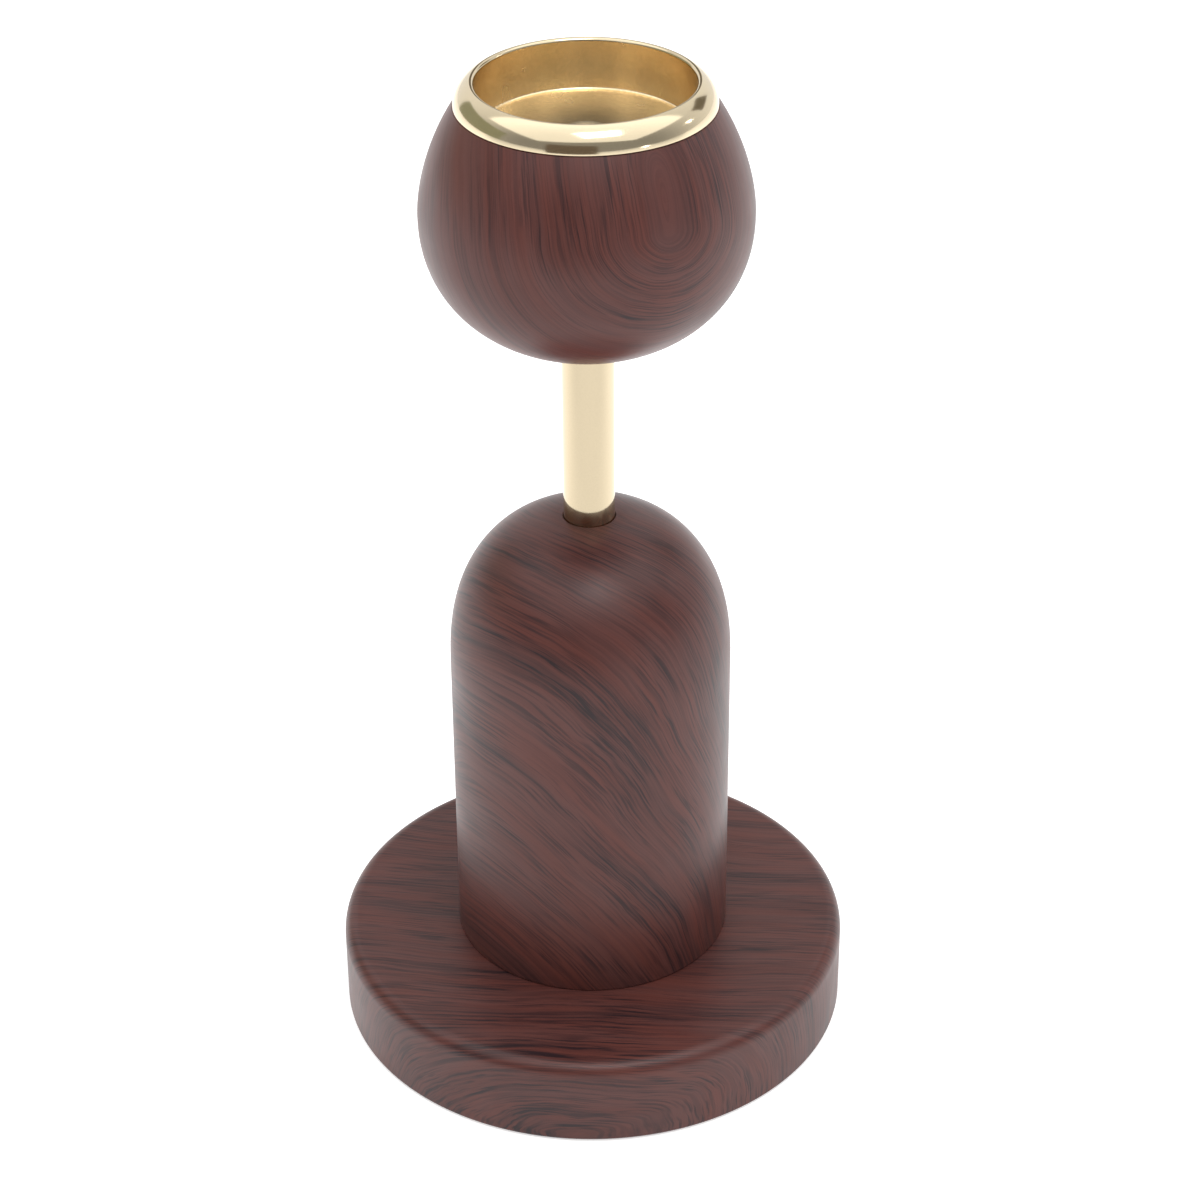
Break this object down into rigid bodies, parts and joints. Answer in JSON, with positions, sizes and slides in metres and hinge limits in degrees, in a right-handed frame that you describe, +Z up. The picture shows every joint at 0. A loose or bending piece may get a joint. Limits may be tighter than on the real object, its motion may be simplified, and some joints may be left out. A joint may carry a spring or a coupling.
{
  "type": "candlestick",
  "caption": "Turned wooden candlestick: round base, dome-topped column, slim brass stem and a wooden bowl with a brass cup for a small candle.",
  "frame": {"origin": "middle of the underside, on the surface that the candlestick stands on", "axes": "+Z up along the axis that every piece is turned about; the front is -Y, though the object looks the same from all sides"},
  "size_m": [0.1036, 0.1036, 0.2029],
  "materials": {
    "wood": "dark red-brown stain under a satin lacquer",
    "brass": "mirror polish outside, satin inside the cup",
    "steel": "zinc plated",
    "felt": "pressed felt"
  },
  "bodies": {
    "root": {"felt_pad": "felt", "base_disc": "wood", "tie_washer": "steel", "tie_bolt": "steel", "column": "wood", "lower_bush": "brass", "stem_tube": "brass", "upper_bush": "brass", "bowl": "wood", "candle_cup": "brass", "cup_screw": "brass"}
  },
  "joints": []
}
